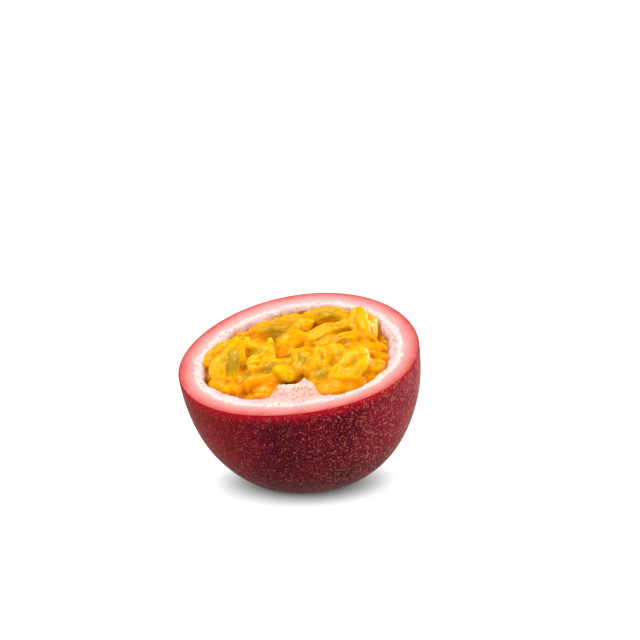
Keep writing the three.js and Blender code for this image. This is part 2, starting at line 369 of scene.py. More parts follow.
def skin_finish():
    """Waxy maroon skin, redder below the cut, brown on the left, under dense fine tan and pink specks, with
    painted light on its sides and painted shade at its foot.
    """
    material, tree = new_material("maroon skin")
    where = place(tree)
    side = node(tree, "ShaderNodeSeparateXYZ", {"Vector": where}).outputs["X"]
    below = value_of(tree, "below_cut")
    # Two maroons in broad patches, browner on the left, redder on the right, both sides lighter as painted
    # light.
    patches = noise(where, 0.11, 3)
    base = mix(steps(patches, 0.3, 0.7), "#340014", "#54001a")
    base = coats(base, [(side, -6, -24, 0.85, "#781412"), (side, 8, 23, 0.8, "#841828")])
    # Painted sheen: a pale blush along the right edge, where light grazes the skin.
    blush = times(steps(side, 18, 27), steps(noise(where, 0.2, 3), 0.35, 0.65))
    base = layer(base, times(blush, 0.36), "#a8505a")
    # Painted shade: nearly black towards the foot, underneath the half. Redder in an uneven band below the
    # cut and in a thin one at it.
    band = plus(below, times(noise(where, 0.16, 2), 6))
    brim = plus(below, swing(noise(where, 0.6, 3), 3.2))
    grain = noise(where, 2.6, 3, 0.6)
    base = coats(base, [
        (below, 10, 30, 0.75, "#1e0004"), (band, 6.5, 2.6, 0.65, "#840016"),
        (brim, 2.6, -0.4, 0.85, "#a80a20"), (grain, 0.5, 0.7, 0.26, "#7c2028"),
    ])
    # Dust and three sizes of speck, a little drawn out downwards, and paler towards the right, partly a tan
    # in the specks and partly painted light on that side.
    along = place(tree, (1, 1, 0.72))
    dense = steps(noise(where, 0.3, 3), 0.3, 0.7, 0.5, 0.9)
    dust = steps(noise(along, 4.6, 2, 0.75), 0.48, 0.64, 0, 0.4)
    base = layer(base, times(dust, dense), "#842a28")
    fine = specks(along, 2.6, 0.12, 0.44)
    middling = specks(along, 1.5, 0.04, 0.32)
    coarse = specks(along, 1.9, 0.1, 0.5)
    rightward = steps(side, -4, 20)
    base = speckled(base, fine, 0.62, "#98403a", "#b0603e", times(rightward, 0.6), "#b46c54")
    base = speckled(base, middling, dense, "#943e42", "#ac6c50", times(rightward, 0.8), "#be8260")
    strength = steps(side, -4, 14, 0.1, 0.75)
    base = speckled(base, coarse, strength, "#903c3c", "#a8644e", steps(side, 10, 22), "#ba8460")
    height = plus(times(fine[0], 0.5), grain)
    rough = steps(noise(where, 0.7, 3), 0.2, 0.8, 0.4, 0.55)
    normal = bump(height, 0.05, 0.5)
    normal = bump(noise(where, 0.35, 2), 0.25, 0.35, normal)
    return surfaced(material, {
        "Base Color": base, "Roughness": rough, "Normal": normal, "IOR": 1.4, "Specular IOR Level": 0.02,
        "Sheen Weight": 0.08, "Sheen Roughness": 0.3, "Sheen Tint": "#e8b4b4",
    })


def tooth(where):
    """How far past the edge of the pith a point is, in millimetres, with the edge torn into small teeth."""
    fine = swing(noise(place_of(where, "spoke"), 1.3, 4, 0.7), 3.0)
    wide = swing(noise(where, 0.3, 2), 1.6)
    return plus(plus(value_of(where, "past_pith"), fine), wide)


def flesh_colour(where):
    """Dark red at the skin, crimson and coral just inside it, then salmon, and pale pink at the pith."""
    from_skin = value_of(where, "from_skin")
    depth = plus(from_skin, swing(noise(where, 0.18, 3), 2.0))
    ramp = node(where, "ShaderNodeValToRGB", {"Fac": steps(depth, -0.2, 4.2)})
    stops = [(0.0, "#b8242c"), (0.04, "#cc3a38"), (0.12, "#d44840"), (0.22, "#d8625c"), (0.4, "#da7a76"),
             (0.6, "#da8a86"), (0.82, "#da9c98"), (1.0, "#deaeaa")]
    elements = ramp.color_ramp.elements
    for at, code in stops[1:-1]:
        elements.new(at).color = paint(code)
    elements[0].color = paint(stops[0][1])
    elements[-1].color = paint(stops[-1][1])
    line = steps(from_skin, 0.42, 0.16)
    return mix(line, ramp.outputs["Color"], "#7c0618")


def flesh_finish():
    """Crisp pink flesh: a wet, fine-grained cut that lets light a little way in."""
    material, tree = new_material("pink flesh")
    where = place(tree)
    torn = tooth(where)
    colour = mix(steps(torn, 0.12, -0.12), flesh_colour(where), "#d8c8c6")
    grain = noise(where, 4.5, 4, 0.65)
    colour = layer(colour, steps(grain, 0.35, 0.7, 0, 0.2), "#ecc8c4")
    return surfaced(material, {
        "Base Color": colour, "Roughness": 0.42, "Subsurface Weight": 0.35,
        "Subsurface Radius": (1.0, 0.45, 0.35), "Subsurface Scale": 1.2 * MM,
        "Normal": bump(grain, 0.08, 0.6),
    })


rind.data.materials.append(skin_finish())
rind.data.materials.append(flesh_finish())
inner_faces = RIND_COLUMNS * (cut_rows_end - 1)
slots = np.zeros(len(rind.data.polygons), dtype=np.int32)
slots[:inner_faces] = 1
slots[-2 * RIND_COLUMNS : -RIND_COLUMNS] = 1
rind.data.polygons.foreach_set("material_index", slots)
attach(rind, "root")
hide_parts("rind")

# ---- Pith ----
# The pith is the spongy white lining between the flesh and the hollow, soft enough to tear. It is left with
# a ragged lip round the hollow, and on the near side a flap of it still reaches over the pulp, thin and
# blushed pink, with its torn edge standing up.
PITH_DEPTH = 2.7
FLAP_OUTLINE = [(246, 22.0), (249.5, 20.2), (251.5, 17.6), (253, 14.2), (259, 14.5), (264, 15.2), (273, 15.2),
                (277, 13.8), (279.5, 15.2), (283, 16.8), (285.5, 19.4), (287.5, 21.2), (290, 22.4)]
FLAP_HEIGHT = [(246, -0.4), (252, 0.1), (259, 0.3), (264, 0.7), (273, 1.1), (277, 1.4), (283, 1.1), (290, 0)]
FLAP_SAG = 0.8
FLAP_THICKNESS = 0.7
LIP = 0.7
HOLLOW_RADIUS = 21.8
HOLLOW_SWELLS = [(1, 0.47, 351), (2, 0.71, 19), (3, 1.12, 74), (4, 0.44, 42), (11, 0.25, 6), (19, 0.15, 11)]

hollow_edge = outline(HOLLOW_RADIUS, HOLLOW_SWELLS)
PITH_COLUMNS = 720
columns = all_round(PITH_COLUMNS)
degrees = np.degrees(columns)
ring_points = polar(22, columns, 0)
lip = hollow_edge(columns) + 0.25 + 0.22 * ripple(ring_points, 1.6, 21) + 0.14 * ripple(ring_points, 0.6, 22)
on_flap = (degrees > FLAP_OUTLINE[0][0]) & (degrees < FLAP_OUTLINE[-1][0])
flap_reach = np.interp(degrees, *zip(*FLAP_OUTLINE))
flap_reach += 0.3 * ripple(ring_points * 0.7, 0.8, 23) + 0.2 * ripple(ring_points * 0.7, 0.35, 24)
tip = np.where(on_flap, np.minimum(flap_reach, lip - LIP), lip - LIP)
reach = np.clip((lip - tip - LIP) / 6, 0, 1)
hollow_depth = INNER_DEPTH - PITH_DEPTH
raised = np.interp(degrees, *zip(*FLAP_HEIGHT)) + 0.15 * ripple(ring_points, 1.2, 25)
tip_height = -0.7 + np.clip(reach * 1.6, 0, 1) * (0.7 + raised)


def pith_rows():
    """Rings up the wall of the hollow, under and over the flap, across the cut face and down the outside."""
    rows = []
    for step in np.linspace(0.06, 0.93, 15):
        rows.append(shell_row(hollow_edge(columns), hollow_depth, quarter * (1 - step)))
    wall = rows[-1]
    wall_radius = from_axis(wall)
    for step in np.linspace(0, 1, 7)[1:]:
        radius = wall_radius + (tip - wall_radius) * step
        under = wall[:, 2] + (tip_height - FLAP_THICKNESS - wall[:, 2]) * step**0.6
        rows.append(polar(radius, columns, under))
    rows.append(polar(tip - 0.12, columns, tip_height - FLAP_THICKNESS / 2))
    for step in np.linspace(0, 1, 18)[:-1]:
        radius = tip + (lip - tip) * step
        sag = -FLAP_SAG * reach * math.sin(math.pi * step)
        rows.append(polar(radius, columns, tip_height * (1 - step) ** 2 + sag))
    for step in [*np.linspace(0, 1, 12)[:-1], 0.985, 1]:
        rows.append(polar(lip + (pith_edge(columns) - lip) * step, columns, 0))
    for step in [0.004, *np.linspace(0, 0.94, 12)[1:]]:
        rows.append(shell_row(pith_edge(columns), INNER_DEPTH, quarter * step))
    return np.array(rows)


rows = pith_rows()
UNDER_FLAP, OVER_FLAP, CUT_FACE, OUTSIDE = 15, 22, 39, 52
top = rows[UNDER_FLAP : OUTSIDE + 1]
fluff = 0.12 * ripple(top, 0.9, 31) + 0.05 * ripple(top, 0.42, 32)
edge_fade = np.clip((pith_edge(columns) - from_axis(top)) / 0.8, 0, 1)
top[..., 2] += fluff * edge_fade
pith = turned_piece("pith_detail", rows, pole(hollow_depth), pole(INNER_DEPTH))
flat = rows.reshape(-1, 3)
write_value(pith, "past_pith", from_axis(flat) - pith_edge(angle_of(flat)), -9, 0)
write_value(pith, "from_skin", skin_edge(angle_of(flat)) - from_axis(flat), 9, 4)
write_value(pith, "below_cut", -flat[:, 2], hollow_depth, HALF_DEPTH)
write_spoke(pith, flat)
on_shelf = np.zeros(rows.shape[:2])
on_shelf[UNDER_FLAP : CUT_FACE + 1] = np.clip(reach * 1.5, 0, 1)
on_shelf[OVER_FLAP:CUT_FACE] *= 1 - np.linspace(0, 0.6, CUT_FACE - OVER_FLAP)[:, None]
write_value(pith, "flap", on_shelf, 0, 0)
splashed = on_shelf * np.clip(0.5 + ripple(rows, 2.2, 34), 0, 1)
splashed[:OVER_FLAP] = 0
write_value(pith, "splashed", splashed, 0, 0)
threaded = np.clip(0.4 + 1.2 * ripple(rows, 4.0, 35), 0, 1)
threaded[:CUT_FACE] = threaded[CUT_FACE + 10 :] = 0
write_value(pith, "fibre_ends", threaded, 0, 0)


def pith_finish():
    """Spongy pith: white at the flesh, blushed and veined with pink inwards, stained by juice where torn."""
    material, tree = new_material("white pith")
    where = place(tree)
    sponge = noise(where, 2.2, 4, 0.65)
    torn = tooth(where)
    white = mix(steps(sponge, 0.3, 0.6), "#dcc2bc", "#e2d4d0")
    # Blushed further in, with orange dots in a ring where fibres end.
    blush = mix(steps(noise(where, 1.3, 4, 0.7), 0.4, 0.62), "#d0a4a0", "#d8c0bc")
    inward = plus(value_of(tree, "past_pith"), steps(noise(where, 0.4, 3), 0.2, 0.8, -0.9, 0.9))
    white = mix(steps(inward, -1.0, -2.0, 0, 0.8), white, blush)
    ends, chance = specks(where, 0.75, 0.03, 0.2)
    ring = times(steps(inward, -0.6, -1.2), steps(inward, -2.6, -2.0))
    end_tint = mix(chance, "#c86048", "#d88a50")
    white = mix(times(ends, times(ring, 0.7)), white, end_tint)
    # The flap: mottled pink, spotted with juice, and white along its torn edge.
    flap = value_of(tree, "flap")
    mottle = steps(noise(where, 1.1, 5, 0.75), 0.42, 0.6)
    flap_colour = mix(mottle, "#d49e92", "#e2c2b6")
    grains = specks(where, 1.3, 0.05, 0.4)[0]
    stain = times(grains, steps(flap, 0.45, 0.9, 0, 0.75))
    flap_colour = layer(flap_colour, stain, "#e0a040")
    torn_edge = plus(flap, steps(noise(where, 0.9, 3), 0.3, 0.7, -0.12, 0.12))
    flap_colour = layer(flap_colour, steps(torn_edge, 0.8, 0.98, 0, 0.8), "#ecdcd4")
    white = mix(steps(flap, 0.1, 0.5, 0, 0.9), white, flap_colour)
    # The wall of the hollow: peach, soaked with juice lower down.
    below = value_of(tree, "below_cut")
    wall = mix(steps(noise(where, 0.6, 4), 0.35, 0.65), "#f2b096", "#f6cdba")
    white = mix(steps(below, 0.5, 1.6, 0, 0.9), white, wall)
    seep = plus(below, steps(noise(where, 0.35, 3), 0.3, 0.7, -1.6, 1.6))
    white = layer(white, steps(seep, 1.4, 2.8, 0, 0.85), "#f08c40")
    colour = mix(steps(torn, -0.12, 0.12), white, flesh_colour(where))
    return surfaced(material, {
        "Base Color": colour, "Roughness": 0.62, "Subsurface Weight": 0.4, "Specular IOR Level": 0.2,
        "Subsurface Radius": (1.0, 0.6, 0.5), "Subsurface Scale": 0.6 * MM,
        "Normal": bump(sponge, 0.07, 0.5),
    })


pith.data.materials.append(pith_finish())
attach(pith, "root")
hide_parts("pith")

# ---- Pulp ----
# The pulp is a heap of seed sacs, each a thin wet skin of yellow gel round one dark seed, grown from the wall
# and cut or pulled loose by the knife, with orange juice standing between them. A sac is round at one end
# and drawn to a point at the other. They stick together, so the heap is one skin with soft creases.
# A sac is given by its middle, heading, rise, length, width, yellowness and folds, and where its seed shows,
# by how much it shows and how far along it lies.
Sac = namedtuple("Sac", "x y z heading rise length width yellow folds seed seed_at", defaults=(0, 0.4))
TALL_SACS = [Sac(*row) for row in (
    (-19.0, 2.0, -0.6, 46, 15, 7.8, 5.4, 0.3, 0.4),
    (-15.9, 5.6, -0.1, 36, 8, 8.6, 5.4, 0.5, 0.5, 0.1, 0.4),
    (-15.4, -3.9, 0.8, 72, 19, 13.4, 7.6, 0.7, 1.0, 0.9, 0.4),
    (-18.6, -3.4, -1.8, 80, 4, 8.0, 4.4, -0.4, 0.2),
    (-5.1, -6.2, -0.2, 13, 8, 11.0, 4.8, 0.7, 0.8, 0.9, 0.35),
    (-8.3, -4.9, 0.9, 27, 9, 7.2, 5.0, 0.8, 1.0, 0.2, 0.4),
    (-9.2, -0.8, 1.3, 341, 8, 9.2, 5.4, 0.8, 1.0, 0.5, 0.5),
    (-12.0, 2.0, 0.3, 120, 34, 6.5, 3.4, 0.9, 0.6),
    (-5.3, 9.2, 0.6, 344, 7, 12.8, 7.2, 0.2, 0.5, 0.9, 0.62),
    (-1.8, 4.2, 0.2, 40, 17, 8.2, 5.0, 0.6, 0.8, 0.1, 0.4),
    (-1.4, 15.6, -0.5, 8, 12, 6.6, 4.6, 0.4, 0.5, 0.3, 0.5),
    (1.4, 9.7, 1.4, 26, 23, 5.4, 4.4, 0.6, 0.7),
    (6.9, 14.2, 0.7, 343, 9, 11.4, 5.8, 0.4, 0.5, 0.8, 0.56),
    (15.3, 7.6, 1.0, 94, 11, 13.2, 6.6, 0.6, 0.9),
    (16.5, 8.4, 0.6, 88, 10, 8.4, 3.8, 0.6, 0.6),
    (12.4, 10.6, 0.6, 98, 8, 8.2, 4.2, 0.5, 0.7),
    (8.2, 6.0, 0.9, 22, 5, 13.4, 5.8, 0.6, 1.0, 0.5, 0.6),
    (10.1, 1.9, 0.5, 196, 2, 10.0, 5.0, 0.6, 1.0, 0.7, 0.6),
    (16.2, -2.4, 0.0, 355, 3, 9.6, 4.6, 0.2, 0.7),
    (18.2, -6.6, -0.3, 345, 2, 7.2, 4.8, 0.1, 0.6),
    (17.2, -10.4, -0.4, 40, 5, 6.6, 5.0, 0.3, 0.6),
    (12.4, -11.5, 1.2, 52, 20, 11.4, 7.4, 0.9, 1.0, 0.4, 0.4),
    (9.9, -16.5, -0.7, 8, 4, 10.8, 5.2, 0.1, 0.3),
    (9.8, -4.7, 1.1, 127, 12, 7.6, 5.2, 0.8, 1.0, 0.3, 0.4),
    (6.0, -6.5, 0.9, 83, 11, 8.6, 5.4, 0.7, 1.0, 0.3, 0.3),
    (1.4, -6.6, 0.6, 105, 10, 10.2, 6.2, 0.7, 0.8, 0.7, 0.45),
    (5.4, -10.9, -0.5, 30, 14, 7.8, 5.2, 0.5, 0.9, 1.0, 0.45),
    (-2.7, -11.1, 1.1, 305, -14, 5.4, 4.8, 0.7, 0.05),
    (-7.9, -11.4, -0.4, 357, 7, 8.4, 4.8, 0.2, 0.3),
    (-12.0, -8.2, -1.2, 40, 12, 6.0, 4.4, 0.4, 0.5, 1.0, 0.5),
    (-15.8, -11.6, -1.0, 38, 12, 4.2, 3.6, 0.3, 0.2),
    (-18.0, -10.2, -0.9, 350, 12, 4.2, 3.6, 0.4, 0.2),
    (-17.2, -12.4, -1.6, 323, 4, 4.2, 3.2, 0.2, 0.1),
    (-12.9, -11.6, -1.5, 20, 6, 4.8, 3.6, 0.1, 0.2),
    (0.4, 6.8, -0.8, 335, 8, 6.8, 5.0, 0.2, 0.7),
    (-4.0, 0.6, -1.0, 7, 8, 6.0, 4.6, -0.3, 0.3),
    (-11.0, 2.0, 1.9, 98, 36, 5.4, 1.8, 1.1, 0.0),
    (-6.6, 0.8, 1.3, 69, 34, 5.0, 2.4, 1.1, 0.3),
    (-6.6, -13.6, -2.0, 358, 12, 6.0, 4.2, -0.3, 0.1),
)]
LOW_SPACING = 4.1
LOW_LEVEL, LOW_DROP, FAR_DROP = -1.0, 1.5, 1.2
FLAP_CLEARANCE = 13
LOW_LENGTH, LOW_WIDTH = (6.0, 8.0), (4.6, 5.8)
LOW_RISE = 22
LOW_SEED = 1913
LOW_CLEARANCE = 1.8
WALL_CLEARANCE = 2.2
PULP_LEVEL = -1.9
PULP_FLOOR = -4.4
DRAINED = [(268, 24, 1), (20, 16, 0.3), (130, 22, 0.2), (202, 14, 1.2)]
GAPS = [(-19.5, -7.5), (18.5, 5.0)]
GAP_RADIUS = 3.5
SAC_FLATNESS = 0.88
VOXEL = 0.25
GROWTH = 0.5


def seeded_draw(seed):
    """A repeatable draw between 0 and 1, by the minimal standard generator."""
    state = seed
    while True:
        state = state * 16807 % 2147483647
        yield state / 2147483647


def distance_to_sac(x, y, sac):
    cos, sin = math.cos(math.radians(sac.heading)), math.sin(math.radians(sac.heading))
    along = max(-sac.length / 4, min(sac.length / 4, (x - sac.x) * cos + (y - sac.y) * sin))
    return math.hypot(x - sac.x - along * cos, y - sac.y - along * sin)


def under_flap(x, y):
    degrees = math.degrees(math.atan2(y, x)) % 360
    return FLAP_OUTLINE[0][0] < degrees < FLAP_OUTLINE[-1][0] and math.hypot(x, y) > FLAP_CLEARANCE


def drained(x, y):
    """Two places at the wall, at the near left and at the far right, where the knife took the sacs out."""
    return any(math.hypot(x - gap_x, y - gap_y) < GAP_RADIUS for gap_x, gap_y in GAPS)


def low_sacs():
    """The lower sacs between the tall ones: a sunflower pattern, each turned and sized by the draw."""
    draw = seeded_draw(LOW_SEED)
    golden = math.pi * (3 - math.sqrt(5))
    sacs = []
    for i in range(400):
        radius = LOW_SPACING * 0.56 * math.sqrt(i + 0.5)
        if radius > FRUIT_RADIUS:
            break
        angle = i * golden
        x, y = radius * math.cos(angle), radius * math.sin(angle)
        heading = 360 * next(draw)
        rise = LOW_RISE * (2 * next(draw) - 1)
        length, width = (least + (most - least) * next(draw) for least, most in (LOW_LENGTH, LOW_WIDTH))
        near = any(distance_to_sac(x, y, tall) < LOW_CLEARANCE for tall in TALL_SACS)
        if near or radius > hollow_edge(angle) - WALL_CLEARANCE or under_flap(x, y) or drained(x, y):
            continue
        level = LOW_LEVEL - LOW_DROP * (radius / HOLLOW_RADIUS) ** 2 - FAR_DROP * max(0, y) / HOLLOW_RADIUS
        yellow, seed = length % 1 * 0.6, width * 7 % 1 * 0.8
        sacs.append(Sac(x, y, level, heading, rise, length, width, yellow, 0.6, seed))
    return sacs


SACS = TALL_SACS + low_sacs()
SAC_CHARACTER = np.random.RandomState(LOW_SEED).rand(len(SACS), 10)


def girth(along):
    """A sac's half width over its greatest, from its round end at 0 to its point at 1."""
    along = np.clip(along, 1e-6, 1 - 1e-6)
    return 1.08 * np.sqrt(np.sin(math.pi * along**0.85)) * (1 - along) ** 0.18


def sac_axes(sac):
    """The directions along a sac, across it and up through it."""
    heading, rise = math.radians(sac.heading), math.radians(sac.rise)
    flat = np.array([math.cos(heading), math.sin(heading), 0])
    along = flat * math.cos(rise) + np.array([0, 0, math.sin(rise)])
    across = np.array([-flat[1], flat[0], 0])
    return along, across, np.cross(along, across)


def sac_mesh(index, rings=26, sides=44):
    """One sac: a closed drop with its own bend and flats, pleated lengthwise like a half-empty skin."""
    sac = SACS[index]
    length, width, folds = sac.length + 2 * GROWTH, sac.width, sac.folds
    character = SAC_CHARACTER[index]
    along, across, up = sac_axes(sac)
    share = ((1 - np.cos(np.linspace(0, math.pi, rings + 1))) / 2)[1:-1, None]
    around = all_round(sides)[None, :]
    flats = 0.06 * np.cos(2 * around + 6.3 * character[0]) + 0.05 * np.cos(3 * around + 6.3 * character[1])
    twist = 2.4 * (character[3] - 0.5) * share + 0.25 * np.sin(6.3 * (share + character[8]))
    strand = np.abs(np.cos((4 + round(3 * character[2])) / 2 * (around + twist) + 6.3 * character[7]))
    pleat = (strand - 0.64) * (0.12 + 0.24 * share)
    dent = -0.16 * np.exp(-(((share - 0.3 - 0.4 * character[5]) / 0.16) ** 2)) * np.maximum(0, np.sin(around))
    half = girth(share) * width / 2 * (1 + flats + folds * (pleat + dent)) + GROWTH
    bend = (character[4] - 0.5) * 0.22 * length * (4 * (share - 0.5) ** 2 - 0.4)
    side = half * np.cos(around) + bend
    rise = half * np.sin(around) * SAC_FLATNESS
    forward = (share - 0.5) * length + 0 * around
    ends = np.array([[-0.5 * length], [0.5 * length]])
    points = forward[..., None] * along + side[..., None] * across + rise[..., None] * up
    tips = ends * along + (character[4] - 0.5) * 0.22 * length * 0.6 * across
    points = np.concatenate([points.reshape(-1, 3), tips]) + sac[:3]
    ring, total = np.arange(sides), (rings - 1) * sides
    ends = [*fan(ring, total)[:, [0, 2, 1]], *fan(total - sides + ring, total + 1)]
    return points, [*bands(rings - 1, sides), *ends]


MENISCUS_FALL = 1.4


def low_here(row):
    """How far the juice has drained from the wall: under the flap, at the far right and at the near left."""
    degrees = np.degrees(angle_of(row)) % 360
    outer = np.clip(from_axis(row) / 4 - 4, 0, 1)
    dips = 0
    for middle, spread, amount in DRAINED:
        off = (degrees - middle + 180) % 360 - 180
        dips = dips + amount * np.exp(-((off / spread) ** 2))
    return outer * np.minimum(dips, 1.2)


def juice_mesh(rings=26, sides=96):
    """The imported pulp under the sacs: a slab filling the hollow, its top a lumpy face of juice and gel."""
    angle = all_round(sides)
    edge = hollow_edge(angle)
    rows = []
    for step in np.linspace(1, 0, rings)[:-1]:
        row = polar(edge * step, angle, PULP_LEVEL + GROWTH)
        meniscus = 1.1 * max(0, step - 0.86) / 0.14
        row[:, 2] += 0.7 * ripple(row, 3.2, 41) + 0.9 * meniscus**2 - MENISCUS_FALL * low_here(row)
        rows.append(row)
    top = np.array(rows).reshape(-1, 3)
    bottom = polar(edge * 0.975, angle, PULP_FLOOR)
    points = np.concatenate([top, [[0, 0, PULP_LEVEL + GROWTH]], bottom, [[0, 0, PULP_FLOOR]]])
    ring, middle = np.arange(sides), (rings - 1) * sides
    low = middle + 1 + ring
    wall = np.stack([low, np.roll(low, -1), np.roll(ring, -1), ring], 1)
    ends = [*fan(middle - sides + ring, middle)[:, [1, 2, 0]], *wall, *fan(low, middle + 1 + sides)[:, ::-1]]
    return points, [*bands(rings - 1, sides), *ends]


def keep_inside(points):
    """Sacs press flat against the wall of the hollow."""
    radius = from_axis(points)
    room = hollow_edge(angle_of(points)) + 0.45 + GROWTH - 0.03 * np.maximum(0, -points[:, 2])
    squeezed = np.where(radius > room - 1, room - 1 + 1 * np.tanh(radius - room + 1), radius)
    factor = squeezed / np.maximum(radius, 1e-6)
    return np.stack([points[:, 0] * factor, points[:, 1] * factor, points[:, 2]], 1)


def joined(parts):
    """Several meshes as one list of points and one of faces."""
    points, faces = [], []
    for part_points, part_faces in parts:
        start = sum(map(len, points))
        faces += [[int(corner) + start for corner in face] for face in part_faces]
        points.append(part_points)
    return np.concatenate(points), faces


def drift(points, size, seed):
    """A smooth wander of each point, from -1 to 1 in each direction."""
    return np.stack([ripple(points, size, seed + i) for i in range(3)], 1)


def finished_mesh(piece):
    """The mesh of a passing object with its modifiers worked out. The object itself is taken away."""
    mesh = bpy.data.meshes.new_from_object(piece.evaluated_get(bpy.context.evaluated_depsgraph_get()))
    bpy.data.objects.remove(piece)
    return mesh


def heap_skin():
    """The sacs and the juice joined into one skin: its points and its four-cornered faces."""
    points, faces = joined([juice_mesh(), *(sac_mesh(i) for i in range(len(SACS)))])
    wander = drift(points, 4.2, 71) * [0.6, 0.6, 0.35]
    heap = new_piece("heap", keep_inside(points + wander * (points[:, 2:] > PULP_LEVEL - 1)), faces)
    remesh = heap.modifiers.new("one skin", "REMESH")
    remesh.mode = "VOXEL"
    remesh.voxel_size = VOXEL
    done = finished_mesh(heap)
    at = np.empty(len(done.vertices) * 3)
    done.vertices.foreach_get("co", at)
    corners = np.empty(len(done.loops), dtype=np.int32)
    done.loops.foreach_get("vertex_index", corners)
    return at.reshape(-1, 3), corners.reshape(-1, 4)


SEED_SIDE = np.array([0, -0.75, 0.66])


class Nearest:
    """For each point: the sac it belongs to, its place in that sac, and how far off the next sac is."""

    def __init__(self, points):
        count = len(points)
        best, second = np.full(count, np.inf), np.full(count, np.inf)
        self.sac = np.zeros(count, dtype=int)
        self.local = np.zeros((count, 3))
        self.over_seed = np.zeros(count)
        for i, sac in enumerate(SACS):
            along, across, up = sac_axes(sac)
            from_middle = points - sac[:3]
            forward, side, rise = from_middle @ along, from_middle @ across, from_middle @ up / SAC_FLATNESS
            share = forward / sac.length + 0.5
            half = np.where((share > 0) & (share < 1), girth(share), 0.02) * sac.width / 2
            outside = np.maximum(np.abs(forward) - sac.length / 2, 0)
            distance = np.hypot(side, rise) - half + 2 * outside
            closer = distance < best
            second = np.where(closer, best, np.minimum(second, distance))
            best = np.where(closer, distance, best)
            self.sac[closer] = i
            self.local[closer] = np.stack([forward, side, rise], 1)[closer]
            facing = SEED_SIDE - along * (along @ SEED_SIDE)
            facing /= np.linalg.norm(facing)
            spread = from_middle @ np.cross(along, facing)
            reach = np.hypot((share - sac.seed_at) / 0.27, spread / (0.28 * sac.width))
            reach = np.where(from_middle @ facing > 0, reach, 9)
            self.over_seed[closer] = reach[closer]
        self.crease = np.clip(1 - (second - best) / 1.1, 0, 1)

    def of_sac(self, name):
        """For each point, what its sac has by that name."""
        return np.array([getattr(sac, name) for sac in SACS])[self.sac]


def eased(points, faces, amount, rounds):
    """The surface drawn smooth, each point by its own amount."""
    first = faces.ravel()
    second = np.roll(faces, -1, axis=1).ravel()
    start, end = np.concatenate([first, second]), np.concatenate([second, first])
    links = np.bincount(start, minlength=len(points))
    for _ in range(rounds):
        around = [np.bincount(start, points[end, axis], len(points)) / links for axis in range(3)]
        points = points + amount[:, None] * (np.stack(around, 1) - points)
    return points


def outward(points, faces):
    """The direction out of the surface at each point."""
    across = np.cross(points[faces[:, 2]] - points[faces[:, 0]], points[faces[:, 3]] - points[faces[:, 1]])
    normal = np.stack([np.bincount(faces.ravel(), np.repeat(across[:, axis], 4)) for axis in range(3)], 1)
    normal /= np.linalg.norm(normal, axis=1)[:, None]
    volume = np.einsum("ij,ij->i", points[faces[:, 0]], across).sum()
    return normal if volume > 0 else -normal


points, faces = heap_skin()
near = Nearest(points)
points = eased(points, faces, 0.1 + 0.4 * near.crease, 8)
near = Nearest(points)
above_floor = np.clip(points[:, 2] - PULP_FLOOR, 0, 1)
seam = near.crease * np.clip(0.5 + 0.9 * ripple(points, 5.0, 84), 0, 1)
seam = np.where(near.of_sac("folds") < 0.1, -near.crease, seam)
shrink = GROWTH * (1 - 0.5 * near.crease - 0.5 * seam) * above_floor
points = points - outward(points, faces) * shrink[:, None]
points = eased(points, faces, 0.1 + 0.4 * near.crease, 10)
near = Nearest(points)
folds = near.of_sac("folds")
wander = drift(points, 2.4, 81) * 0.7
strands = (near.local + wander) / [2.6, 1, 1] + 7.3 * near.sac[:, None]
fold = 0.55 - np.abs(ripple(strands, 1.7, 61))
small_fold = 0.55 - np.abs(ripple(strands, 0.8, 62))
relief = (1 - near.crease) * folds * (0.55 * fold + 0.22 * small_fold)
relief += 0.16 * ripple(points, 3.6, 64) + 0.07 * ripple(points, 1.6, 63)
points = points + outward(points, faces) * (relief * above_floor)[:, None]
pulp = new_piece("pulp_detail", stand(points), facing_out(stand(points), faces).tolist())
broad = eased(points, faces, np.full(len(points), 0.6), 45)
crest = np.einsum("ij,ij->i", points - broad, outward(points, faces))
tint = near.of_sac("yellow") + 0.2 * ripple(points, 2.5, 51)
LIGHT_SIDE = np.array([-0.42, -0.1, 0.9])
write_value(pulp, "yellow", np.clip(tint, 0, 1.2))
write_value(pulp, "seed", near.of_sac("seed") * np.clip(1.6 - near.over_seed, 0, 1))
write_value(pulp, "crest", crest)
write_value(pulp, "lift", near.local[:, 2] / (0.5 * near.of_sac("width")))
# The share of painted highlight: how far the smoothed surface faces the light.
write_value(pulp, "painted_highlight", outward(broad, faces) @ LIGHT_SIDE)
write_value(pulp, "inner", 1 - near.crease)


def sunk_depth(points):
    """How far each point lies below the heap round it, in millimetres."""
    cell, size = 0.5, 110
    at = np.clip(((points[:, :2] / cell) + size / 2).astype(int), 0, size - 1)
    top = np.full((size, size), PULP_LEVEL - 1.0)
    np.maximum.at(top, (at[:, 0], at[:, 1]), points[:, 2])
    kernel = np.exp(-np.linspace(-2, 2, 11) ** 2)
    kernel /= kernel.sum()
    for axis in (0, 1):
        top = np.apply_along_axis(lambda line: np.convolve(line, kernel, "same"), axis, top)
    return top[at[:, 0], at[:, 1]] - points[:, 2]


to_wall = hollow_edge(angle_of(points)) - from_axis(points)
write_value(pulp, "sunk", sunk_depth(points))
write_value(pulp, "folds", folds)
# Orange juice at the wall, also painted bright as painted light in the shaded gap.
write_value(pulp, "wall_juice_and_painted_light", np.clip(1.1 - to_wall, 0, 1) * np.clip(1 + (points[:, 0] + 17) / 3, 0, 1))
write_place(pulp, "fibre", strands)


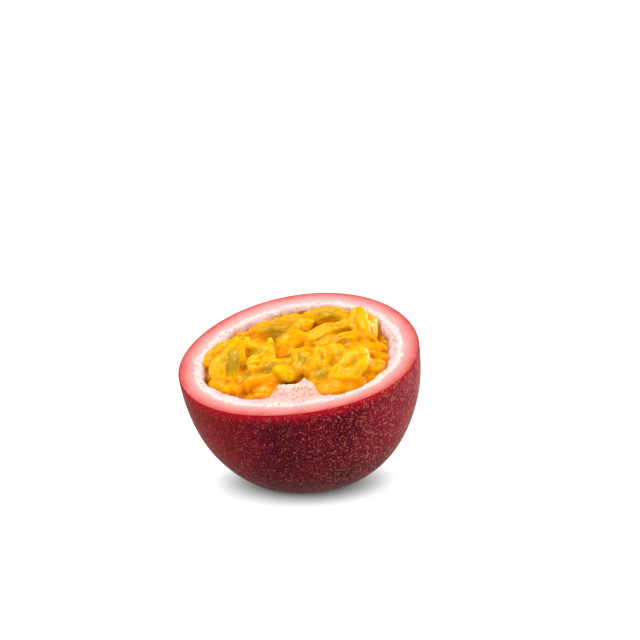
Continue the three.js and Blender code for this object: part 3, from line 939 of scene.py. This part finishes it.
def gel_finish():
    """Wet gel: lemon where a skin is stretched, golden below it, painted orange shade at its foot, olive over
    a seed.
    """
    material, tree = new_material("golden gel")
    where = place(tree)
    fibre = place_of(tree, "fibre")
    threads = noise(fibre, 1.3, 4, 0.6)
    cloud = noise(where, 0.5, 3)
    crest = value_of(tree, "crest")
    folds = value_of(tree, "folds")
    inner = value_of(tree, "inner")
    yellow = plus(value_of(tree, "yellow"), steps(cloud, 0.2, 0.8, -0.2, 0.2))
    # Yellower on crests and oranger in hollows, partly the thinner skin and partly painted light and shade.
    yellow = plus(yellow, steps(crest, -0.4, 0.4, -0.3, 0.3))
    seed = plus(value_of(tree, "seed"), steps(noise(fibre, 0.5, 3), 0.3, 0.7, -0.25, 0.25))
    gold = mix(steps(yellow, -0.1, 0.5), "#e89200", "#e8a600")
    # Painted shade: oranger on the lower side of each sac. Olive over a seed.
    gold = coats(gold, [
        (yellow, 0.5, 1.2, 1, "#e6b80a"), (value_of(tree, "lift"), 0.3, -0.7, 0.5, "#e88e00"),
        (seed, 0, 0.7, 0.8, "#cc9808"), (seed, 0.5, 1.1, 0.85, "#a4801c"),
    ])
    # Pale streaks along the folds, partly pale fibres of the skin and partly painted highlights, and a
    # painted highlight on what faces up.
    streaks = times(steps(threads, 0.52, 0.66), inner)
    fibres_and_painted_highlight = times(streaks, times(folds, 0.45))
    fibres_and_painted_highlight = times(fibres_and_painted_highlight, steps(noise(where, 0.4, 2), 0.4, 0.6, 0.25, 1))
    gold = layer(gold, fibres_and_painted_highlight, "#eac456")
    # A painted highlight on the faces turned to the light.
    painted_highlight = plus(value_of(tree, "painted_highlight"), steps(threads, 0.3, 0.7, -0.12, 0.12))
    painted_highlight = times(steps(painted_highlight, 0.82, 1.02, 0, 0.5), folds)
    gold = layer(gold, painted_highlight, "#eaba30")
    # Painted shade: darker in the creases and deep between the sacs. At the wall, a film of orange juice that
    # is also painted light in the shaded gap there.
    sunk = value_of(tree, "sunk")
    gold = coats(gold, [
        (crest, -0.04, -0.5, 0.85, "#c46c00"), (sunk, 0.7, 2.2, 0.7, "#e07c00"),
        (sunk, 1.9, 3.2, 0.9, "#9c3400"),
    ])
    # Painted light with the juice: bright orange at the wall, in the shaded gap.
    gold = layer(gold, times(value_of(tree, "wall_juice_and_painted_light"), 0.85), "#f07c24")
    height = plus(threads, times(noise(where, 1.3, 3), 1.2))
    height = times(height, inner)
    return surfaced(material, {
        "Base Color": gold, "Roughness": 0.24, "IOR": 1.4, "Specular Tint": (1, 0.85, 0.4, 1),
        "Specular IOR Level": 0.5, "Subsurface Weight": 1.0, "Subsurface Radius": (0.8, 0.85, 0.05),
        "Subsurface Scale": 2.2 * MM, "Normal": bump(height, 0.13, 0.8),
    })


GEL = gel_finish()
pulp.data.materials.append(GEL)
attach(pulp, "root")
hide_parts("pulp")

# ---- Pulp core ----
# Below the sacs that show, the same pulp fills the hollow down to its blunt end, packed against the pith with
# a thin film of juice between them.
PACKED_TOP = -4.2
PITH_GAP = 0.3
CORE_COLUMNS = 120
columns = all_round(CORE_COLUMNS)
core_depth = hollow_depth - PITH_GAP
core_edge = hollow_edge(columns) - PITH_GAP
top_slope = math.asin((-PACKED_TOP / core_depth) ** (BLUNTNESS / 2))
top_edge = core_edge * math.cos(top_slope) ** (2 / BLUNTNESS)
rows = [polar(top_edge * step, columns, PACKED_TOP) for step in (0.4, 0.8)]
rows += [shell_row(core_edge, core_depth, slope) for slope in np.linspace(top_slope, 0.96 * quarter, 22)]
core = turned_piece("pulp_core", np.array(rows), [0, 0, PACKED_TOP], pole(core_depth))
write_value(core, "yellow", np.full(len(core.data.vertices), 0.3))
core.data.materials.append(GEL)
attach(core, "root")
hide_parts("pulp")

# ---- Torn tips ----
# Where the knife dragged a sac open its skin is drawn up into a thin wet tip, bent over and ending in a sharp
# point, grown from the sac that it stands on.
# A tip is (points from its root to its end, width at the root, thickness there).
TORN_TIPS = [
    (((-11.1, 0.4, -0.4), (-11.3, 1.4, 2.4), (-10.9, 2.2, 4.7)), 2.4, 1.4),
    (((-13.0, 0.6, 1.2), (-13.7, 1.6, 3.2), (-13.7, 2.2, 4.9)), 3.0, 1.8),
    (((-6.9, -0.3, -0.6), (-5.2, 0.6, 1.2), (-5.9, 1.6, 4.0)), 3.8, 1.8),
    (((15.2, 11.2, 0.2), (15.1, 13.0, 1.6), (14.8, 13.8, 3.1)), 4.2, 2.0),
    (((9.4, -3.2, -0.4), (8.9, -2.2, 0.9), (8.5, -1.7, 1.9)), 2.8, 1.4),
    (((14.3, -8.4, 1.0), (14.8, -7.3, 2.6), (15.2, -6.7, 3.5)), 2.8, 1.4),
]
TIP_RINGS, TIP_SIDES = 14, 18


def tip_mesh(tip):
    """One tip: a flat cone along a bent line, a little pinched above its root."""
    (root, middle, end), width, thickness = tip
    root, middle, end = np.array(root), np.array(middle), np.array(end)
    share = np.linspace(0, 1, TIP_RINGS)[:, None, None]
    line = (1 - share) ** 2 * root + 2 * share * (1 - share) * middle + share**2 * end
    onward = 2 * (1 - share) * (middle - root) + 2 * share * (end - middle)
    onward = onward / np.linalg.norm(onward, axis=-1, keepdims=True)
    broad_way = np.cross(onward, [0.2, 1, 0.3])
    broad_way = broad_way / np.linalg.norm(broad_way, axis=-1, keepdims=True)
    thin_way = np.cross(onward, broad_way)
    around = all_round(TIP_SIDES)[None, :, None]
    taper = (1 - share) ** 0.9 * (1 - 0.25 * np.sin(math.pi * share)) + 0.004
    body = taper / 2 * (width * np.cos(around) * broad_way + thickness * np.sin(around) * thin_way)
    points = (line + body).reshape(-1, 3)
    points = points + 0.12 * drift(points, 1.1, 91)
    ring = np.arange(TIP_SIDES)
    return points, [*bands(TIP_RINGS, TIP_SIDES), ring[::-1], (TIP_RINGS - 1) * TIP_SIDES + ring]


tip_points, tip_faces = joined([tip_mesh(tip) for tip in TORN_TIPS])
tips = new_piece("torn_tips", stand(tip_points), tip_faces)
# The tips carry fixed gel values, a painted highlight among them.
for name, value in (("yellow", 1.1), ("folds", 0.5), ("inner", 1.0), ("lift", 0.6), ("painted_highlight", 0.9)):
    write_value(tips, name, np.full(len(tip_points), value))
write_place(tips, "fibre", tip_points / [1, 1, 2.6])
tips.data.materials.append(GEL)
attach(tips, "root")
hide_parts("pulp")

# ---- Fibre ends and juice drops ----
# Fine orange fibres run through the pith and the knife cut them off short, so that their ends show as dots
# round the hollow. Drops of juice were flicked onto the flap as it tore. Both are small flat grains.
GRAIN_SMALLEST = 0.07 * MM
FIBRE_ENDS = {"Where": "fibre_ends", "Density": 0.5 / MM**2, "Largest": 0.22 * MM, "Seed": 4}
JUICE_DROPS = {"Where": "splashed", "Density": 1.3 / MM**2, "Largest": 0.24 * MM, "Seed": 9}


def grains_group():
    """Flat grains on a surface, scattered as thickly as the attribute "Where" and the density say."""
    group = bpy.data.node_groups.new("grains on a surface", "GeometryNodeTree")
    sockets = {
        "Geometry": "Geometry", "Where": "String", "Density": "Float", "Smallest": "Float",
        "Largest": "Float", "Seed": "Int", "Finish": "Material",
    }
    for name, kind in sockets.items():
        group.interface.new_socket(name, in_out="INPUT", socket_type=f"NodeSocket{kind}")
    group.interface.new_socket("Geometry", in_out="OUTPUT", socket_type="NodeSocketGeometry")
    given = group.nodes.new("NodeGroupInput").outputs
    share = node(group, "GeometryNodeInputNamedAttribute", {"Name": given["Where"]}, data_type="FLOAT")
    density = times(share.outputs["Attribute"], given["Density"])
    inputs = {"Mesh": given["Geometry"], "Density": density, "Seed": given["Seed"]}
    spots = node(group, "GeometryNodeDistributePointsOnFaces", inputs)
    grain = node(group, "GeometryNodeMeshIcoSphere", {"Radius": 1.0, "Subdivisions": 2})
    inputs = {2: given["Smallest"], 3: given["Largest"], "Seed": given["Seed"]}
    size = node(group, "FunctionNodeRandomValue", inputs, data_type="FLOAT").outputs[1]
    height = times(size, 0.6)
    scale = node(group, "ShaderNodeCombineXYZ", {0: size, 1: size, 2: height}).outputs[0]
    inputs = {"Instance": grain.outputs["Mesh"], "Scale": scale}
    inputs.update({key: spots.outputs[key] for key in ("Points", "Rotation")})
    placed = node(group, "GeometryNodeInstanceOnPoints", inputs).outputs["Instances"]
    real = node(group, "GeometryNodeRealizeInstances", {"Geometry": placed}).outputs["Geometry"]
    smooth = node(group, "GeometryNodeSetShadeSmooth", {0: real}).outputs[0]
    done = node(group, "GeometryNodeSetMaterial", {"Geometry": smooth, "Material": given["Finish"]})
    node(group, "NodeGroupOutput", {"Geometry": done.outputs["Geometry"]})
    return group


def grain_finish(name, first, second, roughness):
    """Small wet grains, each a little different from the next."""
    material, tree = new_material(name)
    colour = mix(steps(noise(place(tree), 1.4, 2), 0.35, 0.65), first, second)
    return surfaced(material, {"Base Color": colour, "Roughness": roughness, "Specular IOR Level": 0.3})


def grains_piece(name, group, values, finish):
    """The grains of one kind, scattered on a passing copy of the pith and kept as a plain mesh."""
    carrier = put_in_scene("carrier", pith.data)
    scatter = carrier.modifiers.new("grains", "NODES")
    scatter.node_group = group
    named = {item.name: item.identifier for item in group.interface.items_tree if item.in_out == "INPUT"}
    for key, value in {**values, "Smallest": GRAIN_SMALLEST, "Finish": finish}.items():
        scatter[named[key]] = value
    mesh = finished_mesh(carrier)
    mesh.name = name
    piece = put_in_scene(name, mesh)
    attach(piece, "root")
    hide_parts("pith")
    return piece


grains = grains_group()
fibre = grain_finish("orange fibre", "#c4502e", "#d8824a", 0.5)
ends = grains_piece("fibre_ends", grains, FIBRE_ENDS, fibre)
juice = grain_finish("orange juice", "#dc8a10", "#e8ae20", 0.2)
drops = grains_piece("juice_drops", grains, JUICE_DROPS, juice)

# ---- Floor and light ----
# A white table that glows a little from below, a painted glow left out in a soft oval round the foot of the
# half as a painted shadow, and a bright even room, with three soft lamps: one high on the left, one in front
# that puts glints on the wet pulp, and one low at the back right that lights the skin.
FLOOR_HALF = 3.0
SHADE_RADII = (17.6, 10.7)
SHADE_EDGE = (0.5, 1.46)
FLOOR_GLOW = 0.84

corners = [(x * FLOOR_HALF, y * FLOOR_HALF, 0) for x, y in ((-1, -1), (1, -1), (1, 1), (-1, 1))]
floor = new_piece("floor", corners, [(0, 1, 2, 3)])


def floor_finish():
    """Matt white with a little painted glow, left out in a soft oval round the foot of the half as a painted
    shadow.
    """
    material, tree = new_material("pale floor")
    where = node(tree, "ShaderNodeTexCoord").outputs["Object"]
    inputs = {"Vector": where, "Location": [*(-1 / radius for radius in SHADE_RADII), 0]}
    inputs["Scale"] = [*(1 / (radius * MM) for radius in SHADE_RADII), 0]
    oval = node(tree, "ShaderNodeMapping", inputs).outputs["Vector"]
    far_off = node(tree, "ShaderNodeVectorMath", {0: oval}, operation="LENGTH").outputs["Value"]
    return surfaced(material, {
        "Base Color": (0.35, 0.35, 0.35, 1), "Roughness": 0.9, "Specular IOR Level": 0,
        "Emission Color": (1, 1, 1, 1), "Emission Strength": steps(far_off, *SHADE_EDGE, 0, FLOOR_GLOW),
    })


floor.data.materials.append(floor_finish())


def lamp(name, place_at, power, width):
    """A round soft lamp turned towards the half."""
    data = bpy.data.lights.new(name, "AREA")
    data.energy = power
    data.shape = "DISK"
    data.size = width
    made = put_in_scene(name, data)
    made.location = place_at
    direction = np.array([0, 0, 0.03]) - np.array(place_at)
    flat = math.hypot(direction[0], direction[1])
    made.rotation_euler = (math.atan2(flat, -direction[2]), 0, math.atan2(-direction[0], direction[1]))


lamp("key light", (-0.15, 0.12, 0.42), 0.7, 0.16)
lamp("front light", (0.08, -0.28, 0.36), 0.5, 0.1)
lamp("edge light", (0.27, 0.24, 0.1), 0.7, 0.24)
world = bpy.data.worlds.new("room")
bpy.context.scene.world = world
world.use_nodes = True
world.node_tree.nodes["Background"].inputs["Color"].default_value = (1, 1, 1, 1)
world.node_tree.nodes["Background"].inputs["Strength"].default_value = 0.95
world.cycles_visibility.glossy = False
bpy.context.scene.view_settings.view_transform = "Standard"
